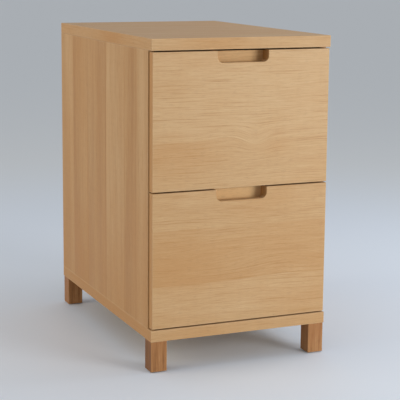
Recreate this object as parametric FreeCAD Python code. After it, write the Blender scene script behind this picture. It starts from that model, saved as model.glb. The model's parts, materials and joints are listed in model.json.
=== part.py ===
"""A two-drawer oak filing cabinet on four short square legs, in millimetres.

X runs across the front, Y from the front to the back and Z up.
The origin is on the floor, under the middle of the cabinet.
"""
import FreeCAD
import Part
import math
import os

# Cabinet outline
cabinet_width = 400.0
cabinet_depth = 600.0
cabinet_height = 685.0
top_thickness = 24.0
base_thickness = 24.0
side_thickness = 15.0
edge_round = 1.0
cut_overrun = 1.0

# Back panel, held in grooves
back_thickness = 6.0
back_inset = 8.0
groove_depth = 7.0
groove_clearance = 0.1
groove_end_clearance = 0.5

# Legs and what holds them
base_clearance = 66.0
leg_width = 35.0
leg_side_inset = 1.0
leg_front_inset = 2.0
leg_bolt_diameter = 8.0
leg_bolt_in_leg = 30.0
leg_insert_length = 14.0
leg_insert_wall = 2.0
leg_dowel_offset = 11.0
leg_dowel_in_leg = 15.0
leg_dowel_in_base = 10.0
hole_bottom_clearance = 1.0
glide_diameter = 24.0
glide_thickness = 2.0
glide_round = 1.0
glide_pin_diameter = 3.0
glide_pin_length = 12.0

# Dowels
dowel_diameter = 8.0
dowel_chamfer = 0.8
dowel_fit = 0.05
carcass_dowel_in_board = 12.0
carcass_dowel_in_side = 23.0
carcass_dowel_shares = (0.08, 0.36, 0.64, 0.9)
box_dowel_in_side = 8.0
box_dowel_in_end = 22.0
box_dowel_shares = (0.15, 0.45, 0.85)

# Drawer fronts and the finger pull in each
drawer_names = ("lower", "upper")
front_thickness = 18.0
front_gap = 3.0
front_side_inset = 2.5
front_standoff = 2.0
pull_width = 114.0
pull_height = 24.0
pull_corner_radius = 12.0
pull_undercut = 12.0
pull_pocket_depth = 10.0

# Drawer boxes
box_wall = 12.0
box_front_thickness = 15.0
box_front_drop = 2.0
box_floor_thickness = 6.0
box_floor_height = 8.0
box_groove_depth = 5.0
box_groove_end_clearance = 0.3
box_underside = 5.0
box_back_clearance = 18.0
file_tab_room = 21.5

# Rails that the suspension files hang from
rail_wall = 1.2
rail_skirt = 10.0
rail_rib_height = 9.0
rail_rib_thickness = 2.0
rail_rib_round = 0.8
rail_fit = 0.1
rail_end_clearance = 0.5

# Screws and bumpers
screw_shank_diameter = 4.0
screw_head_diameter = 7.2
screw_tip = 2.0
side_screw_length = 12.0
box_screw_length = 9.0
front_screw_head_diameter = 9.0
front_screw_head_height = 2.5
front_screw_head_round = 1.0
front_screw_length = 26.0
front_screw_width_share = 0.72
front_screw_height_shares = (0.2, 0.75)
bumper_diameter = 8.0
bumper_clearance = 0.2
bumper_round = 1.0
bumper_inset = 20.0

# Telescopic slides
slide_thickness = 12.7
slide_height = 45.0
slide_sheet = 1.2
slide_setback = 4.0
slide_back_clearance = 12.0
slide_level_share = 0.4
slide_clearance = 0.3
slide_screw_shares = (0.06, 0.45, 0.88)
outer_bend_radius = 1.8
bend_radius = 1.2
race_entry_angle = 35.0
race_lip_angle = 70.0
inner_curl_angle = 40.0
travel_stop_length = 10.0
access_hole_diameter = 10.0
access_hole_shares = (0.2, 0.5, 0.8)
slot_length = 30.0
slot_width = 5.0
slot_shares = (0.16, 0.3, 0.6, 0.75)

# Balls and the cages that space them
ball_diameter = 3.5
ball_clearance = 0.3
ball_row_gap = 0.5
balls_per_row = 5
cage_sheet = 0.5
cage_bend_radius = 1.0
cage_pocket_clearance = 0.15
cage_rim = 0.8
cage_end_margin = 5.0

# Places that several pieces share
half_width = cabinet_width / 2
front_y = -cabinet_depth / 2
back_y = cabinet_depth / 2
base_top = base_clearance + base_thickness
top_underside = cabinet_height - top_thickness
inner_half_width = half_width - side_thickness
side_middle_x = half_width - side_thickness / 2
front_back_y = front_y + front_thickness
side_front_y = front_back_y + front_standoff
back_panel_y = back_y - back_inset - back_thickness
gap_count = len(drawer_names) + 1
front_height = (top_underside - base_top - gap_count * front_gap) / len(drawer_names)
box_half_width = inner_half_width - slide_thickness
box_inner_half = box_half_width - box_wall
box_inner_front_y = front_back_y + box_front_thickness
box_back_y = back_panel_y - box_back_clearance
box_inner_back_y = box_back_y - box_wall
file_rail_height = front_height + front_gap - file_tab_room
box_wall_height = file_rail_height - rail_rib_height - rail_wall - box_underside
box_front_height = front_height - box_front_drop - box_underside
slide_front_y = side_front_y + slide_setback
slide_length = back_panel_y - slide_back_clearance - slide_front_y
drawer_travel = slide_length - travel_stop_length
across = FreeCAD.Vector(1, 0, 0)
backward = FreeCAD.Vector(0, 1, 0)
upward = FreeCAD.Vector(0, 0, 1)
middle = FreeCAD.Vector(0, 0, 0)
sides = {"left": -1, "right": 1}


def block(x_from, x_to, y_from, y_to, z_from, z_to):
    """A box between two places on each axis, given in either order."""
    low = FreeCAD.Vector(min(x_from, x_to), min(y_from, y_to), min(z_from, z_to))
    return Part.makeBox(abs(x_to - x_from), abs(y_to - y_from), abs(z_to - z_from), low)


def edges_along(solid, direction):
    """The straight edges that run along one axis."""
    spans = [(edge, edge.Vertexes[-1].Point - edge.Vertexes[0].Point) for edge in solid.Edges]
    return [edge for edge, span in spans if span.cross(direction).Length < Part.Precision.confusion()]


def top_edges(solid, direction):
    """The edges along one axis that lie at the top of a solid."""
    return [edge for edge in edges_along(solid, direction) if edge.BoundBox.ZMin > solid.BoundBox.Center.z]


def edges_at_depth(solid, y):
    """The edges that lie in the upright plane at one depth."""
    near = Part.Precision.confusion() * 100
    return [edge for edge in solid.Edges
            if abs(edge.BoundBox.YMin - y) < near and abs(edge.BoundBox.YMax - y) < near]


def turned(points, place, axis):
    """A round solid: its half outline of (radius, distance along the axis) turned once about the axis."""
    corners = [FreeCAD.Vector(radius, 0, along) for radius, along in points]
    outline = Part.makePolygon(corners + corners[:1])
    solid = Part.Face(outline).revolve(middle, upward, 360)
    solid.Placement = FreeCAD.Placement(place, FreeCAD.Rotation(upward, axis))
    return solid


def rod(diameter, place, axis, length):
    """A plain round bar or the tool for a round hole."""
    return Part.makeCylinder(diameter / 2, length, place, axis)


def dowel(place, axis, length):
    """A wooden dowel with chamfered ends."""
    radius = dowel_diameter / 2 - dowel_fit
    tip = radius - dowel_chamfer
    points = [(0, 0), (tip, 0), (radius, dowel_chamfer), (radius, length - dowel_chamfer), (tip, length),
              (0, length)]
    return turned(points, place, axis)


def countersunk_screw(place, axis, length):
    """A screw whose flat head fills the thickness of a slide's sheet; place is on the wood's face."""
    shank = screw_shank_diameter / 2 - dowel_fit
    head = screw_head_diameter / 2 - dowel_fit
    points = [(0, -slide_sheet), (head, -slide_sheet), (shank, 0), (shank, length - screw_tip), (0, length)]
    return turned(points, place, axis)


def countersunk_hole(place, axis):
    """The tapered hole in a slide's sheet that takes a countersunk screw."""
    shank = screw_shank_diameter / 2
    head = screw_head_diameter / 2
    points = [(0, -slide_sheet), (head, -slide_sheet), (shank, 0), (0, 0)]
    return turned(points, place, axis)


def pan_screw(place, axis, length):
    """A screw with a raised round head that sits on the wood's face."""
    shank = screw_shank_diameter / 2 - dowel_fit
    head = front_screw_head_diameter / 2
    crown = front_screw_head_height - front_screw_head_round
    points = [(0, -front_screw_head_height), (head - front_screw_head_round, -front_screw_head_height),
              (head, -crown), (head, 0), (shank, 0), (shank, length - screw_tip), (0, length)]
    return turned(points, place, axis)


def pull_cut(y_from, y_to, z_bottom, z_top):
    """A slot that is open at the top and has round lower corners, as wide as the finger pull."""
    half = pull_width / 2
    body = block(-half, half, y_from, y_to, z_bottom, z_top)
    lower_edges = [edge for edge in edges_along(body, backward)
                   if edge.BoundBox.ZMax < (z_bottom + z_top) / 2]
    return body.makeFillet(pull_corner_radius, lower_edges)


def save(name, *solids):
    """Write one piece, or one group of equal pieces, to its own file."""
    shape = solids[0] if len(solids) == 1 else Part.makeCompound(solids)
    shape.exportStep(os.path.join("parts", name + ".step"))


os.makedirs("parts", exist_ok=True)

# Carcass dowels and their holes
carcass_dowels = []
carcass_holes = []
carcass_dowel_length = carcass_dowel_in_board + carcass_dowel_in_side
for hand in sides.values():
    for share in carcass_dowel_shares:
        dowel_y = side_front_y + share * (back_panel_y - side_front_y)
        lower_ends = (base_top - carcass_dowel_in_board, top_underside - carcass_dowel_in_side)
        for dowel_z in lower_ends:
            end = FreeCAD.Vector(hand * side_middle_x, dowel_y, dowel_z)
            carcass_dowels.append(dowel(end, upward, carcass_dowel_length))
            hole_start = end - upward * hole_bottom_clearance
            hole_length = carcass_dowel_length + 2 * hole_bottom_clearance
            carcass_holes.append(rod(dowel_diameter, hole_start, upward, hole_length))
save("carcass_dowels", *carcass_dowels)

# Back panel and the groove around it
back_half_width = inner_half_width + groove_depth - groove_end_clearance
back_low = base_top - groove_depth + groove_end_clearance
back_high = top_underside + groove_depth - groove_end_clearance
back_panel = block(-back_half_width, back_half_width, back_panel_y, back_panel_y + back_thickness,
                   back_low, back_high)
save("back_panel", back_panel)
groove_half_width = inner_half_width + groove_depth
groove_front_y = back_panel_y - groove_clearance
groove_back_y = back_panel_y + back_thickness + groove_clearance
back_groove = block(-groove_half_width, groove_half_width, groove_front_y, groove_back_y,
                    base_top - groove_depth, top_underside + groove_depth)

# Legs, with the bolt, insert, dowel and glide of each
leg_bolts = []
leg_inserts = []
leg_dowels = []
foot_glides = []
base_fixing_holes = []
leg_insert_diameter = leg_bolt_diameter + 2 * leg_insert_wall
glide_radius = glide_diameter / 2
glide_pin_radius = glide_pin_diameter / 2 - dowel_fit
glide_top = glide_thickness + glide_pin_length
glide_points = [(0, 0), (glide_radius - glide_round, 0), (glide_radius, glide_round),
                (glide_radius, glide_thickness), (glide_pin_radius, glide_thickness),
                (glide_pin_radius, glide_top), (0, glide_top)]
for hand_name, hand in sides.items():
    for end_name, end_sign in (("front", -1), ("back", 1)):
        leg_x = hand * (half_width - leg_side_inset - leg_width / 2)
        leg_y = end_sign * (cabinet_depth / 2 - leg_front_inset - leg_width / 2)
        foot = FreeCAD.Vector(leg_x, leg_y, 0)
        seat = FreeCAD.Vector(leg_x, leg_y, base_clearance)
        reach = leg_width / 2
        leg = block(leg_x - reach, leg_x + reach, leg_y - reach, leg_y + reach,
                    glide_thickness, base_clearance)
        leg = leg.makeFillet(edge_round, edges_along(leg, upward))
        bolt_start = seat - upward * leg_bolt_in_leg
        bolt = rod(leg_bolt_diameter - 2 * dowel_fit, bolt_start, upward, leg_bolt_in_leg + leg_insert_length)
        leg_bolts.append(bolt)
        bolt_hole = rod(leg_bolt_diameter, bolt_start - upward * hole_bottom_clearance, upward,
                        leg_bolt_in_leg + leg_insert_length + 2 * hole_bottom_clearance)
        insert = rod(leg_insert_diameter - 2 * dowel_fit, seat, upward, leg_insert_length)
        leg_inserts.append(insert.cut(bolt_hole))
        insert_hole = rod(leg_insert_diameter, seat, upward, leg_insert_length + hole_bottom_clearance)
        dowel_start = seat - across * hand * leg_dowel_offset - upward * leg_dowel_in_leg
        dowel_length = leg_dowel_in_leg + leg_dowel_in_base
        leg_dowels.append(dowel(dowel_start, upward, dowel_length))
        dowel_hole = rod(dowel_diameter, dowel_start - upward * hole_bottom_clearance, upward,
                         dowel_length + 2 * hole_bottom_clearance)
        foot_glides.append(turned(glide_points, foot, upward))
        pin_hole = rod(glide_pin_diameter, foot, upward, glide_top + hole_bottom_clearance)
        save("leg_" + end_name + "_" + hand_name, leg.cut([bolt_hole, dowel_hole, pin_hole]))
        base_fixing_holes += [insert_hole, dowel_hole]
save("leg_bolts", *leg_bolts)
save("leg_inserts", *leg_inserts)
save("leg_dowels", *leg_dowels)
save("foot_glides", *foot_glides)

# Top and base panels
top_panel = block(-half_width, half_width, front_y, back_y, top_underside, cabinet_height)
top_panel = top_panel.makeFillet(edge_round, top_panel.Edges)
save("top_panel", top_panel.cut(carcass_holes + [back_groove]))
base_panel = block(-half_width, half_width, front_y, back_y, base_clearance, base_top)
base_panel = base_panel.makeFillet(edge_round, base_panel.Edges)
save("base_panel", base_panel.cut(carcass_holes + base_fixing_holes + [back_groove]))


def bent_sheet(start, heading, moves, thickness):
    """The cross-section of a bent sheet that follows its middle line from a start point.

    A move is (length, 0) for a straight run, or (radius, degrees) for a bend, left turns counted up.
    """
    def aim(angle):
        return FreeCAD.Vector(math.cos(math.radians(angle)), 0, math.sin(math.radians(angle)))

    def skins(point, angle):
        offset = aim(angle + 90) * (thickness / 2)
        return point + offset, point - offset

    here = start
    first = skins(here, heading)
    left_edges = []
    right_edges = []
    for size, turn in moves:
        begin = skins(here, heading)
        if turn == 0:
            here = here + aim(heading) * size
            finish = skins(here, heading)
            pieces = [Part.makeLine(begin[skin], finish[skin]) for skin in (0, 1)]
        else:
            inward = math.copysign(size, turn)
            centre = here + aim(heading + 90) * inward
            halfway = skins(centre - aim(heading + turn / 2 + 90) * inward, heading + turn / 2)
            heading = heading + turn
            here = centre - aim(heading + 90) * inward
            finish = skins(here, heading)
            pieces = [Part.Arc(begin[skin], halfway[skin], finish[skin]).toShape() for skin in (0, 1)]
        left_edges.append(pieces[0])
        right_edges.append(pieces[1])
    caps = [Part.makeLine(*first), Part.makeLine(*skins(here, heading))]
    outline = Part.sortEdges(left_edges + right_edges + caps)[0]
    return Part.Face(Part.Wire(outline))


def channel(start_x, moves, thickness, y_from, length):
    """A rolled channel: half its section drawn upward from the web's middle, then mirrored and drawn out."""
    half = bent_sheet(FreeCAD.Vector(start_x, 0, 0), 90, moves, thickness)
    half.translate(backward * y_from)
    solid = half.extrude(backward * length)
    return solid.fuse(solid.mirror(middle, upward)).removeSplitter()


# Slide sections, drawn with the cabinet side's face at X = 0 and the slide's centre line at Z = 0
race_radius = ball_diameter / 2 + ball_clearance + slide_sheet / 2
outer_web_x = slide_sheet / 2
outer_cage_x = slide_sheet + slide_clearance + cage_sheet / 2
middle_web_x = outer_cage_x + cage_sheet / 2 + slide_clearance + slide_sheet / 2
inner_cage_x = middle_web_x + slide_sheet / 2 + slide_clearance + cage_sheet / 2
inner_web_x = slide_thickness - slide_sheet / 2
hump = bend_radius + race_radius
hump_across = bend_radius + hump * math.sin(math.radians(race_entry_angle))
hump_up = hump * math.cos(math.radians(race_entry_angle))
outer_ball_x = middle_web_x + hump_across
outer_ball_z = slide_height / 2 - slide_sheet / 2 - race_radius
inner_ball_x = inner_web_x - hump_across
inner_ball_z = outer_ball_z - 2 * race_radius - ball_row_gap
row_across = inner_ball_x - outer_ball_x
row_down = outer_ball_z - inner_ball_z
row_apart = math.hypot(row_across, row_down)
crossing_angle = math.degrees(math.asin(2 * race_radius / row_apart) - math.atan2(row_down, row_across))
crossing_length = math.sqrt(row_apart ** 2 - (2 * race_radius) ** 2)
outer_moves = [(slide_height / 2 - slide_sheet / 2 - outer_bend_radius, 0), (outer_bend_radius, -90),
               (outer_ball_x - outer_web_x - outer_bend_radius, 0), (race_radius, -race_lip_angle)]
middle_moves = [(outer_ball_z - hump_up, 0), (bend_radius, -90 - race_entry_angle),
                (race_radius, race_entry_angle + crossing_angle), (crossing_length, 0),
                (race_radius, -race_lip_angle - crossing_angle)]
inner_moves = [(inner_ball_z - hump_up, 0), (bend_radius, 90 + race_entry_angle),
               (race_radius, -race_entry_angle - inner_curl_angle)]
outer_member = channel(outer_web_x, outer_moves, slide_sheet, slide_front_y, slide_length)
middle_member = channel(middle_web_x, middle_moves, slide_sheet, slide_front_y, slide_length)
inner_member = channel(inner_web_x, inner_moves, slide_sheet, slide_front_y, slide_length)
access_holes = []
for share in access_hole_shares:
    hole_start = FreeCAD.Vector(0, slide_front_y + share * slide_length, 0)
    access_holes.append(rod(access_hole_diameter, hole_start, across, slide_thickness))
middle_member = middle_member.cut(access_holes)
slots = []
for share in slot_shares:
    slot_middle = FreeCAD.Vector(0, slide_front_y + share * slide_length, 0)
    straight = backward * ((slot_length - slot_width) / 2)
    slot_ends = [rod(slot_width, slot_middle + offset, across, slide_thickness)
                 for offset in (-straight, straight)]
    slot_body = block(0, slide_thickness, slot_middle.y - straight.y, slot_middle.y + straight.y,
                      -slot_width / 2, slot_width / 2)
    slots.append(slot_body.fuse(slot_ends))

# Slide screws, all at the same distances along the slide
side_screws = []
box_screws = []
outer_screw_holes = []
inner_screw_holes = []
side_pilot_holes = []
box_pilot_holes = []
for share in slide_screw_shares:
    screw_y = slide_front_y + share * slide_length
    on_side = FreeCAD.Vector(0, screw_y, 0)
    on_box = FreeCAD.Vector(slide_thickness, screw_y, 0)
    side_screws.append(countersunk_screw(on_side, -across, side_screw_length))
    outer_screw_holes.append(countersunk_hole(on_side, -across))
    side_pilot_holes.append(rod(screw_shank_diameter, on_side, -across, side_screw_length))
    box_screws.append(countersunk_screw(on_box, across, box_screw_length))
    inner_screw_holes.append(countersunk_hole(on_box, across))
    box_pilot_holes.append(rod(screw_shank_diameter, on_box, across, box_screw_length))
outer_member = outer_member.cut(outer_screw_holes + slots)
inner_member = inner_member.cut(inner_screw_holes + slots)

# Cages and balls, which stay between their two members over the whole travel
cage_front_y = slide_front_y + drawer_travel / 4 + cage_end_margin
cage_length = slide_length - drawer_travel / 2 - 2 * cage_end_margin
ball_pitch = cage_length / balls_per_row


def cage_and_balls(web_x, ball_x, ball_z):
    """One cage with a pocket around each ball, and its two rows of balls."""
    rim_x = ball_x + ball_diameter / 2 + cage_pocket_clearance + cage_rim
    moves = [(ball_z - cage_bend_radius, 0), (cage_bend_radius, -90), (rim_x - web_x - cage_bend_radius, 0)]
    cage = channel(web_x, moves, cage_sheet, cage_front_y, cage_length)
    balls = []
    pockets = []
    for number in range(balls_per_row):
        for row in (-1, 1):
            centre = FreeCAD.Vector(ball_x, cage_front_y + (number + 1 / 2) * ball_pitch, row * ball_z)
            balls.append(Part.makeSphere(ball_diameter / 2, centre))
            pockets.append(Part.makeSphere(ball_diameter / 2 + cage_pocket_clearance, centre))
    return cage.cut(pockets), balls


outer_cage, outer_balls = cage_and_balls(outer_cage_x, outer_ball_x, outer_ball_z)
inner_cage, inner_balls = cage_and_balls(inner_cage_x, inner_ball_x, inner_ball_z)


def placed(shapes, hand, level):
    """Copies of pieces drawn for the left slide, set at a drawer's level on one hand of the cabinet."""
    copies = []
    for shape in shapes:
        copy = shape.translated(FreeCAD.Vector(-inner_half_width, 0, level))
        copies.append(copy if hand < 0 else copy.mirror(middle, across))
    return copies


# Drawers, from the bottom up
cabinet_screws = []
side_holes = {hand_name: [] for hand_name in sides}
for number, drawer in enumerate(drawer_names):
    front_low = base_top + front_gap + number * (front_height + front_gap)
    front_top = front_low + front_height
    box_low = front_low + box_underside
    box_high = box_low + box_wall_height
    box_front_high = box_low + box_front_height
    slide_level = box_low + slide_level_share * box_wall_height
    pull_floor = front_top - pull_height

    # Slides on both hands
    shared = {"outer_cages": [], "inner_cages": [], "outer_balls": [], "inner_balls": [], "slide_screws": []}
    box_side_holes = {}
    for hand_name, hand in sides.items():
        members = {"outer": outer_member, "middle": middle_member, "inner": inner_member}
        for member_name, member in members.items():
            save(drawer + "_slide_" + member_name + "_" + hand_name, *placed([member], hand, slide_level))
        shared["outer_cages"] += placed([outer_cage], hand, slide_level)
        shared["inner_cages"] += placed([inner_cage], hand, slide_level)
        shared["outer_balls"] += placed(outer_balls, hand, slide_level)
        shared["inner_balls"] += placed(inner_balls, hand, slide_level)
        shared["slide_screws"] += placed(box_screws, hand, slide_level)
        cabinet_screws += placed(side_screws, hand, slide_level)
        side_holes[hand_name] += placed(side_pilot_holes, hand, slide_level)
        box_side_holes[hand_name] = placed(box_pilot_holes, hand, slide_level)
    for group_name, group in shared.items():
        save(drawer + "_" + group_name, *group)

    # Dowels that join the box, and the groove for its floor
    box_dowels = []
    box_dowel_holes = []
    box_dowel_length = box_dowel_in_side + box_dowel_in_end
    for hand in sides.values():
        for board_y in (front_back_y + box_front_thickness / 2, box_back_y - box_wall / 2):
            for share in box_dowel_shares:
                start = FreeCAD.Vector(hand * (box_inner_half + box_dowel_in_side), board_y,
                                       box_low + share * box_wall_height)
                box_dowels.append(dowel(start, across * -hand, box_dowel_length))
                box_dowel_holes.append(rod(dowel_diameter, start, across * -hand,
                                           box_dowel_length + hole_bottom_clearance))
    save(drawer + "_box_dowels", *box_dowels)
    floor_low = box_low + box_floor_height
    floor_groove = block(-box_inner_half - box_groove_depth, box_inner_half + box_groove_depth,
                         box_inner_front_y - box_groove_depth, box_inner_back_y + box_groove_depth,
                         floor_low - groove_clearance, floor_low + box_floor_thickness + groove_clearance)

    # Box boards
    floor_reach = box_groove_depth - box_groove_end_clearance
    save(drawer + "_box_floor", block(-box_inner_half - floor_reach, box_inner_half + floor_reach,
                                      box_inner_front_y - floor_reach, box_inner_back_y + floor_reach,
                                      floor_low, floor_low + box_floor_thickness))
    box_back = block(-box_inner_half, box_inner_half, box_inner_back_y, box_back_y, box_low, box_high)
    box_back = box_back.makeFillet(edge_round, top_edges(box_back, across))
    save(drawer + "_box_back", box_back.cut(box_dowel_holes + [floor_groove]))
    for hand_name, hand in sides.items():
        box_side = block(hand * box_inner_half, hand * box_half_width, front_back_y, box_back_y,
                         box_low, box_high)
        save(drawer + "_box_side_" + hand_name,
             box_side.cut(box_dowel_holes + box_side_holes[hand_name] + [floor_groove]))

    # Drawer front and box front, with the finger pull and the screws through both
    front_half_width = half_width - front_side_inset
    front = block(-front_half_width, front_half_width, front_y, front_back_y, front_low, front_top)
    front = front.cut(pull_cut(front_y - cut_overrun, front_back_y + cut_overrun,
                               pull_floor, front_top + cut_overrun))
    front = front.makeFillet(edge_round, edges_at_depth(front, front_y) + edges_at_depth(front, front_back_y))
    front_screws = []
    front_screw_holes = []
    for hand in sides.values():
        for share in front_screw_height_shares:
            screw_place = FreeCAD.Vector(hand * front_screw_width_share * box_inner_half, box_inner_front_y,
                                         front_low + share * front_height)
            front_screws.append(pan_screw(screw_place, -backward, front_screw_length))
            front_screw_holes.append(rod(screw_shank_diameter, screw_place, -backward, front_screw_length))
    save(drawer + "_front_screws", *front_screws)
    save(drawer + "_front", front.cut(front_screw_holes))
    pocket = pull_cut(front_back_y - cut_overrun, front_back_y + pull_pocket_depth,
                      pull_floor - pull_undercut, box_front_high + cut_overrun)
    box_front = block(-box_inner_half, box_inner_half, front_back_y, box_inner_front_y,
                      box_low, box_front_high)
    box_front = box_front.makeFillet(edge_round, top_edges(box_front, across))
    save(drawer + "_box_front", box_front.cut(box_dowel_holes + front_screw_holes + [floor_groove, pocket]))

    # Bumpers behind the front's corners, opposite the side panels' edges
    bumper_radius = bumper_diameter / 2
    bumper_reach = front_standoff - bumper_clearance
    bumper_points = [(0, 0), (bumper_radius, 0), (bumper_radius, bumper_reach - bumper_round),
                     (bumper_radius - bumper_round, bumper_reach), (0, bumper_reach)]
    bumpers = []
    for hand in sides.values():
        for bumper_z in (front_low + bumper_inset, front_top - bumper_inset):
            place = FreeCAD.Vector(hand * side_middle_x, front_back_y, bumper_z)
            bumpers.append(turned(bumper_points, place, backward))
    save(drawer + "_bumpers", *bumpers)

    # File rails, pushed over the top edges of the box sides
    rail_inner = box_wall / 2 + rail_fit
    rail_outer = rail_inner + rail_wall
    rib = rail_rib_thickness / 2
    rib_top = rail_wall + rail_rib_height
    half_section = [(rib, rib_top), (rib, rail_wall), (rail_outer, rail_wall), (rail_outer, -rail_skirt),
                    (rail_inner, -rail_skirt), (rail_inner, 0)]
    section = half_section + [(-x, z) for x, z in reversed(half_section)]
    for hand_name, hand in sides.items():
        rail_x = hand * (box_half_width - box_wall / 2)
        rail_front_y = box_inner_front_y + rail_end_clearance
        rail_length = box_inner_back_y - rail_end_clearance - rail_front_y
        corners = [FreeCAD.Vector(rail_x + x, rail_front_y, box_high + z) for x, z in section]
        rail = Part.Face(Part.makePolygon(corners + corners[:1])).extrude(backward * rail_length)
        rib_edges = [edge for edge in edges_along(rail, backward)
                     if edge.BoundBox.ZMin > box_high + rail_rib_height]
        save(drawer + "_file_rail_" + hand_name, rail.makeFillet(rail_rib_round, rib_edges))
save("slide_cabinet_screws", *cabinet_screws)

# Side panels, last because they carry the holes of both drawers' slides
for hand_name, hand in sides.items():
    side_panel = block(hand * inner_half_width, hand * half_width, side_front_y, back_y,
                       base_top, top_underside)
    side_panel = side_panel.makeFillet(edge_round, edges_along(side_panel, upward))
    save("side_panel_" + hand_name, side_panel.cut(carcass_holes + side_holes[hand_name] + [back_groove]))
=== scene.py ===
# %% [markdown]
# A two-drawer oak filing cabinet.
# The solids come from the construction model and already have the right shape and size, so this lesson is
# about finishes: oak veneer, solid oak, plywood, zinc-plated steel, plastic and rubber, all built from shader
# nodes. Small hardware that repeats, such as screws and threaded studs, is made with Geometry Nodes.

# %% Load the cabinet
import bmesh
import bpy
import json
import math
from collections import namedtuple
from mathutils import Matrix, Vector

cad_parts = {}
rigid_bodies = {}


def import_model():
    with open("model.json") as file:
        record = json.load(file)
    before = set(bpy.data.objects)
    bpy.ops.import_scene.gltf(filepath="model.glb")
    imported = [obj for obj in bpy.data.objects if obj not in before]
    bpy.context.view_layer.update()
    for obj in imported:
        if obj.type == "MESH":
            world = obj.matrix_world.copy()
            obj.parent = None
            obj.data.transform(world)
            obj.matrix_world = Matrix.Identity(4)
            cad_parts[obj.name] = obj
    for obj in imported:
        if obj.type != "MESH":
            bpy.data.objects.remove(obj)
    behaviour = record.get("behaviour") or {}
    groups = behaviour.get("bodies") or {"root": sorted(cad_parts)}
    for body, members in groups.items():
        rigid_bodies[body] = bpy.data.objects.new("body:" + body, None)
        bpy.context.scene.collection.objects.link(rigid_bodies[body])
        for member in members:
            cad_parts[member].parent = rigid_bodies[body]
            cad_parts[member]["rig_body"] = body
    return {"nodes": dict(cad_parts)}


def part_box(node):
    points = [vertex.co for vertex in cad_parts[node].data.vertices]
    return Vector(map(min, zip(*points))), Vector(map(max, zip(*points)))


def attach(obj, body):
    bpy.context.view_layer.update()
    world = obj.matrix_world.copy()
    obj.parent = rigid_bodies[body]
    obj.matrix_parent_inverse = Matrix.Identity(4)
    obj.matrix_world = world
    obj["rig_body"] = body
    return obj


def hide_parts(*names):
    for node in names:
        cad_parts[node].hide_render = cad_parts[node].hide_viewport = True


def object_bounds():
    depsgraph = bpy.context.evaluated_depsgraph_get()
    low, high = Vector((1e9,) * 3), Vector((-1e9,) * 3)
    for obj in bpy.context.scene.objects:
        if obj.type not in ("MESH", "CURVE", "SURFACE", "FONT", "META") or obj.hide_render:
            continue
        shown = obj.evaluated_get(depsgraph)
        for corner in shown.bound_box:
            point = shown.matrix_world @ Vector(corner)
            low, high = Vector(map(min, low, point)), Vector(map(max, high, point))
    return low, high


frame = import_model()
cad_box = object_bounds()
drawers = ("lower", "upper")
hands = ("left", "right")
print("pieces loaded:", len(frame["nodes"]), "size in metres:", tuple(cad_box[1] - cad_box[0]))

# %% [markdown]
# The camera stands a little left of the cabinet and above its top, and looks slightly down.
# It could be aimed with a Track To constraint, but a heading, a tilt and a small roll say exactly what was
# measured. A long lens keeps the sides nearly parallel, and a slight shift of the lens straightens upright
# edges a little.

# %% Camera
eye = Vector((-1.1053, -2.6524, 0.8496))
heading = math.radians(23.26)
level = math.radians(90)
tilt = math.radians(-9.84)
roll = math.radians(0.49)
sensor_width = 36.0
lens_length = 115.23
frame_shift = -0.06
matrix_size = 4

camera_data = bpy.data.cameras.new("camera")
camera_data.sensor_width = sensor_width
camera_data.lens = lens_length
camera_data.shift_y = frame_shift
camera = bpy.data.objects.new("camera", camera_data)
aim = Matrix.Rotation(-heading, matrix_size, "Z") @ Matrix.Rotation(level + tilt, matrix_size, "X")
camera.matrix_world = Matrix.Translation(eye) @ aim @ Matrix.Rotation(roll, matrix_size, "Z")
bpy.context.scene.collection.objects.link(camera)
bpy.context.scene.camera = camera
print(f"camera distance: {eye.length:.2f} m")

# %% [markdown]
# Colours are written as they look on a screen, from 0 to 255, because that is how they are compared by eye.
# Shaders and lamps add up light and need linear values, which the standard screen curve gives.

# %% Helper for colours
screen_white = 255
toe_end = 0.04045
toe_slope = 12.92
curve_offset = 0.055
curve_power = 2.4


def linear(red, green, blue):
    """A screen colour as a linear colour with full alpha."""
    channels = []
    for value in (red, green, blue):
        share = value / screen_white
        if share <= toe_end:
            channels.append(share / toe_slope)
        else:
            channels.append(((share + curve_offset) / (1 + curve_offset)) ** curve_power)
    return (*channels, 1.0)


middle_grey = 128
print("linear middle grey:", linear(middle_grey, middle_grey, middle_grey))

# %% [markdown]
# Studio light. A pale world alone would light all sides alike and leave the form flat, so it only softens the
# shadows, and lamps give the direction.

# %% World
room_colour = linear(199, 201, 204)
room_strength = 0.86
world = bpy.data.worlds.new("studio")
world.use_nodes = True
bpy.context.scene.world = world
background = world.node_tree.nodes["Background"]
background.inputs["Color"].default_value = room_colour
background.inputs["Strength"].default_value = room_strength
bpy.context.scene.view_settings.view_transform = "Standard"
print("world strength:", room_strength)

# %% [markdown]
# A large key lamp stands to the front and right, and a warm, weaker lamp lifts the left side. A small lamp
# hangs over the floor on the right and brightens it and the top.
# One big area lamp is simpler than several small ones and gives the same soft shadow edge.

# %% Lamps
def area_lamp(name, place, target, width, power, colour):
    """A square soft lamp that faces a point."""
    data = bpy.data.lights.new(name, "AREA")
    data.shape = "SQUARE"
    data.size = width
    data.energy = power
    data.color = colour[:3]
    lamp = bpy.data.objects.new(name, data)
    lamp.location = place
    lamp.rotation_mode = "QUATERNION"
    lamp.rotation_quaternion = (target - place).to_track_quat("-Z", "Y")
    lamp.visible_camera = False
    bpy.context.scene.collection.objects.link(lamp)
    return lamp


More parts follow.
